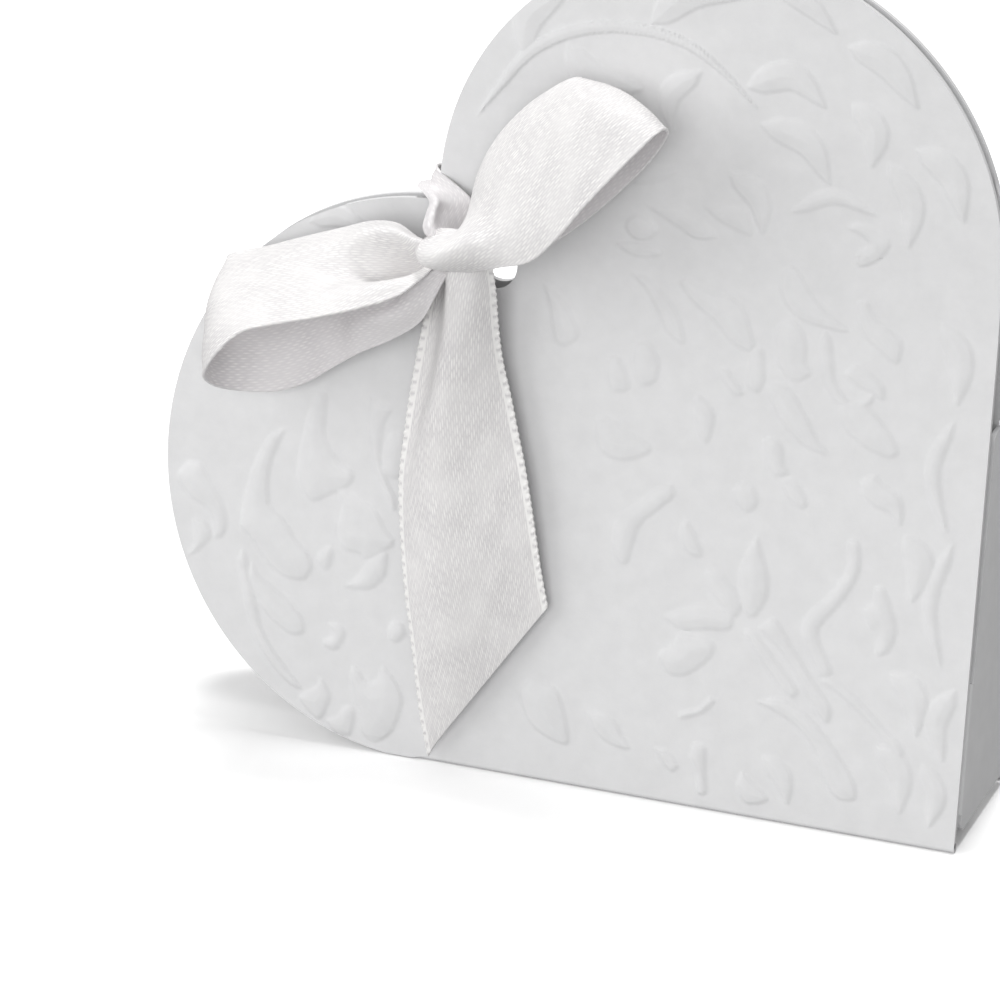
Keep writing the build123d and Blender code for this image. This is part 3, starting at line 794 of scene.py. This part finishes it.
def loop_lines(stations, swell_side):
    upper = picked([station[0] for station in stations])
    lower = picked([station[1] for station in stations])
    swell = np.array([station[2] for station in stations])
    out = swell_side * unit(np.cross(np.gradient((upper + lower) / 2, axis=0), lower - upper))
    between = [upper + (lower - upper) * part + out * swell[:, [k]] for k, part in enumerate(QUARTERS)]
    return [upper, *between, lower]


print("a loop has", len(QUARTERS) + 2, "lines along it")

# %% The left loop falls forward and shows its inside
LEFT_LOOP = [
    ((434, 243, 5.5), (440, 262, 7), (0.5, -0.6, 0.5)),
    ((418, 238, 5.6), (420, 280, 8.6), (1.2, -3.6, -0.3)),
    ((398, 224, 4.6), (396, 297, 10.2), (1.6, -3.8, -0.2)),
    ((373.5, 221.4, 3.6), (358, 309, 11.8), (1.2, -2.2, 0.2)),
    ((343, 228, 2.9), (313, 318.3, 12.8), (0.6, 0.1, 0.4)),
    ((305, 237, 2.6), (272, 325, 13.2), (0.7, 0.6, 0.5)),
    ((268, 246.5, 2.8), (240, 333, 13.2), (0.8, 1, 0.7)),
    ((243, 250.5, 3.4), (216, 354, 12.6), (0.9, 1.2, 0.8)),
    ((230, 254.5, 3.2), (204, 373, 10.8), (0.8, 1, 0.7)),
    ((231, 259, 2), (207, 382, 8.6), (0.6, 0.8, 0.5)),
    ((243, 259, 1.4), (222, 388.5, 6), (0.3, 0.4, 0.2)),
    ((262, 254, 1.2), (247, 391.4, 3.6), (0, 0, 0)),
    ((292, 247, 1.1), (276, 391.4, 2.4), (-0.2, -0.3, -0.2)),
    ((322, 241, 1.2), (306, 383, 2), (-0.2, -0.3, -0.2)),
    ((352, 238, 1.6), (339, 364.2, 2.4), (-0.3, -0.5, -0.4)),
    ((378, 240, 2.4), (362, 352, 3.4), (-0.4, -0.8, -1.4)),
    ((402, 246, 3.2), (391, 339.8, 4), (-0.3, -1, -2.2)),
    ((424, 252, 4.2), (420, 322, 4.6), (-0.2, -1.8, -1.6)),
    ((438, 256, 5.2), (436, 296, 6), (0.3, -1.2, -0.4)),
    ((444, 258, 5.8), (446, 274, 6.4), (0.3, -0.5, 0.3)),
]
left_bow = ribbon_piece("left_bow_loop", loop_lines(LEFT_LOOP, 1))
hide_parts("left_loop")

# %% The right loop stands up and away
RIGHT_LOOP = [
    ((432, 234, 4.6), (432, 261, 4.8), (1.5, 2, 1.5)),
    ((440, 229, 5.4), (446, 270, 5.6), (2.5, 3.2, 2.5)),
    ((452, 229, 5.8), (462, 272, 6.2), (2.7, 3.5, 2.7)),
    ((461, 230, 5.8), (480, 270, 7.6), (2.4, 3.2, 2.3)),
    ((466, 226, 5.4), (502, 267, 9.4), (2, 2.6, 1.6)),
    ((469, 214, 5), (530, 262, 10.8), (1.6, 1.8, 1)),
    ((472, 200, 4.4), (556, 240, 11.4), (1.3, 1.4, 0.8)),
    ((479, 172, 4), (580, 212, 11.6), (1, 1, 0.6)),
    ((497, 138, 3.6), (608, 182, 11.6), (0.8, 0.9, 0.6)),
    ((527, 106, 3.6), (636, 154, 11.2), (0.8, 1, 0.7)),
    ((560, 84, 3.8), (656, 135, 10.4), (0.8, 1.1, 0.8)),
    ((577, 78, 3.4), (666, 130, 8.8), (0.7, 1, 0.7)),
    ((580, 83, 2.2), (667, 138, 6.4), (0.5, 0.6, 0.4)),
    ((562, 98, 1.6), (650, 162, 3.8), (0.1, 0.1, 0.1)),
    ((532, 120, 1.3), (622, 190, 2.5), (-0.2, -0.3, -0.2)),
    ((504, 152, 1.4), (592, 216, 2.2), (-0.2, -0.3, -0.2)),
    ((484, 186, 1.8), (558, 240, 2.6), (-0.3, -0.4, -0.3)),
    ((470, 216, 2.8), (522, 257, 3.8), (-0.4, -0.6, -0.4)),
    ((460, 236, 4.2), (490, 264, 5.2), (0.3, -0.5, 0.3)),
    ((452, 246, 5.4), (464, 266, 6.2), (0.3, -0.4, 0.3)),
]
right_bow = ribbon_piece("right_bow_loop", loop_lines(RIGHT_LOOP, -1), face_out=-1)
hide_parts("right_loop")

# %% [markdown]
# ## The two tails
# The ends of the ribbon hang from the knot and lie against the card. The front one is folded
# back along its left side and cut on the slant. The rear one is shorter and mostly hidden. Six
# lines down the front tail are enough for its fold and its ridge, and three do for the rear
# one, so no cloth needs to be dropped and settled. The picots show on these open edges.

# %% The front tail hangs from the knot, folded back along its left side and cut on the slant
FRONT_TAIL = [
    [(438, 262, 4.6), (430, 290, 3), (419.5, 340, 2), (410.5, 390, 1.6), (405.5, 425, 1.5), (399.5, 480, 1.4),
     (401, 530, 1.5), (405.5, 590, 1.6), (413.5, 655, 1.5), (419.5, 710, 1.2), (428, 757, 0.9)],
    [(444, 262, 5.2), (443, 292, 3.6), (436, 342, 2.6), (427, 391, 2.2), (418, 427, 2.2), (409, 480, 2.3),
     (408, 530, 2.4), (411.5, 590, 2.4), (419, 655, 2.1), (425.5, 705, 1.6), (433, 748, 1.1)],
    [(447, 262, 6.6), (447.5, 295, 6.4), (442, 345, 5.4), (433, 393, 4.6), (424, 430, 3.9), (415, 480, 3.2),
     (415, 530, 3.1), (419, 585, 3), (426, 645, 2.6), (432, 690, 2), (441, 737, 1.3)],
    [(455, 262, 7), (455, 295, 6.5), (453, 340, 6), (448, 388, 5.4), (442, 428, 4.9), (437, 475, 4.5),
     (437, 525, 4.3), (441, 578, 4), (447, 632, 3.3), (454, 675, 2.5), (462, 711, 1.6)],
    [(474, 263, 6.6), (474, 300, 5.9), (475, 338, 5), (477, 382, 4.3), (478, 420, 3.9), (479, 465, 3.6),
     (482, 508, 3.4), (486, 552, 3.2), (491, 595, 2.7), (497, 630, 2.1), (504, 660, 1.5)],
    [(492, 262, 4.8), (496, 292, 4), (498.5, 325, 3.2), (503, 360, 2.6), (511, 395, 2.3), (518, 430, 2.2),
     (524.5, 462, 2.2), (530, 495, 2.2), (536, 535, 2), (541.5, 572, 1.7), (548, 607, 1.3)],
]
long_tail = ribbon_piece("front_ribbon_tail", [picked(line) for line in FRONT_TAIL], columns=64, picot=1.0)
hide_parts("front_tail")

# %% The rear tail lies close to the card behind the front one
REAR_TAIL = [
    [(452, 272, 3), (446, 300, 1.6), (437, 345, 1), (431, 400, 0.8), (430, 460, 0.8), (433, 520, 0.8),
     (440, 575, 0.8), (447, 612, 0.8)],
    [(462, 272, 3.6), (462, 302, 2.2), (458, 345, 1.7), (456, 398, 1.5), (458, 456, 1.5),
     (464, 512, 1.5), (471, 562, 1.4), (477, 596, 1.3)],
    [(478, 272, 3.2), (484, 302, 1.9), (488, 344, 1.3), (493, 396, 1.1), (499, 450, 1.1),
     (505, 502, 1.1), (510, 545, 1.1), (513, 575, 1.1)],
]
short_tail = ribbon_piece("rear_ribbon_tail", [picked(line) for line in REAR_TAIL], columns=36, picot=1.0)
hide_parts("rear_tail")

# %% [markdown]
# ## The strand over the cleft
# A gathered strand comes out of the punched hole, runs up over the cleft and joins both hearts.
# It is lofted like the other stretches, as one turn through both holes. The seen part is picked
# in the picture. The hidden part has three lines in millimetres, with two more half way between
# them, so that it meets the five lines in front.

# %% The strand through the hole and over the cleft
STRAND_SEEN = [
    [(434, 243, 5), (424, 229, 5.4), (427, 214, 3.6), (430, 201, 2.4)],
    [(440, 243, 6.4), (431, 228, 6.8), (433, 213, 5), (436, 200, 3.4)],
    [(446, 242, 4.6), (439, 228, 3.6), (440, 213, 2.6), (442, 199, 1.8)],
    [(458, 242, 3), (456, 230, 1.9), (457, 214, 1.4), (457, 198, 1.3)],
    [(468, 242, 2.6), (472, 230, 1.6), (473, 214, 1.3), (470, 197, 1.4)],
]
STRAND_HIDDEN = [
    [(-30.4, -0.6, 56.9), (-30.4, 0.8, 56.9), (-30.0, 2.0, 55.6), (-28.0, 2.6, 53.6),
     (-25.6, 2.4, 51.2), (-23.9, 0.9, 49.6), (-23.7, -1.2, 49.7), (-24.2, -3.2, 50.6)],
    [(-29.0, -0.8, 57.3), (-29.0, 1.0, 57.3), (-28.4, 2.4, 56.0), (-26.8, 3.0, 54.2),
     (-24.6, 2.7, 52.0), (-22.9, 1.0, 50.5), (-22.9, -1.2, 50.6), (-23.4, -3.6, 51.4)],
    [(-28.3, -0.6, 59.0), (-28.3, 0.8, 59.0), (-27.4, 2.0, 57.6), (-25.6, 2.6, 55.6),
     (-23.8, 2.4, 53.0), (-22.2, 0.9, 51.4), (-22.1, -1.2, 51.4), (-22.6, -3.2, 52.2)],
]
first, middle, last = np.array(STRAND_HIDDEN)
hidden_lines = (first, (first + middle) / 2, middle, (middle + last) / 2, last)
strand_lines = [np.concatenate([picked(seen), hidden]) for seen, hidden in zip(STRAND_SEEN, hidden_lines)]
cleft_strand = ribbon_piece("cleft_strand", strand_lines, columns=40, ripple=0.05)
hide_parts("ribbon_through_loop")

# %% [markdown]
# ## The knot
# The knot sits where the loops, tails and strand cross. On the real bow it is ribbon pulled
# tight over itself. Modelling each pass would hide most of the work inside, so a rounded core
# is pleated like gathered ribbon, and the right loop's first turn wraps over it.

# %% The knot's core of crossed folds
KNOT_ROWS, KNOT_COLUMNS, POLE_GAP = 48, 72, 0.02
PLEATS, PLEAT_DEEP, PLEAT_TWIST, PULLED = 7, 0.07, 2.5, 0.05
CORE_WEAVE, PAST_SELVAGE = 3, 5


def knot_core(name, centre, reach):
    up = np.linspace(POLE_GAP, pi - POLE_GAP, KNOT_ROWS)[:, None]
    turn = np.linspace(0, 2 * pi, KNOT_COLUMNS, endpoint=False)[None, :]
    pleat = PLEAT_DEEP * np.sin(PLEATS * turn + PLEAT_TWIST * np.cos(up)) * np.sin(up)
    pleat = 1 + pleat + PULLED * np.cos(2 * up + turn)
    ball = np.stack([np.sin(up) * np.cos(turn), np.sin(up) * np.sin(turn), np.cos(up) + 0 * turn], axis=-1)
    points = np.array(centre) + ball * pleat[..., None] * np.array(reach)
    at = np.arange(KNOT_ROWS * KNOT_COLUMNS).reshape(KNOT_ROWS, KNOT_COLUMNS)
    side = np.roll(at, -1, axis=1)
    faces = np.stack([at[:-1], at[1:], side[1:], side[:-1]], axis=-1).reshape(-1, 4).tolist()
    faces += [at[0].tolist(), at[-1, ::-1].tolist()]
    core = make_piece(name, points.reshape(-1, 3), faces, satin_face)
    counts = np.stack(np.broadcast_arrays(up * CORE_WEAVE, turn * CORE_WEAVE), axis=2)
    lay_weave(core, "ribbon_mm", counts)
    lay_weave(core, "edge_mm", counts + PAST_SELVAGE)
    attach(core, "front")
    return core


bow_core = knot_core("bow_knot_core", centre=(-24.6, -5.5, 52.4), reach=(3.0, 2.3, 2.3))
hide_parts("bow_knot")
print("knot core", [round(side / MM, 1) for side in bow_core.dimensions])

# %% [markdown]
# ## How much ribbon the tie takes
# A maker cuts the ribbon flat before tying it. The length of each stretch's longest line and the
# area that it shows are printed above, and the flat ribbon is 15 mm wide. The strand is gathered,
# so less of the ribbon's width counts there.

# %% Five stretches of ribbon
print("five stretches of ribbon")

# %% [markdown]
# ## Flaps and base
# The base strip, the side flap with its tuck lip and the two small end flaps are plain cut card
# whose shapes the solids already have. New meshes could be made for them, but they only need
# the card's finish.

# %% Give the small card pieces their finish
for node in ("base_panel", "side_flap", "tuck_lip", "left_end_flap", "right_dust_flap"):
    for place in bpy.data.objects[node].material_slots:
        place.material = white_card
print("card finish on the base and flaps")
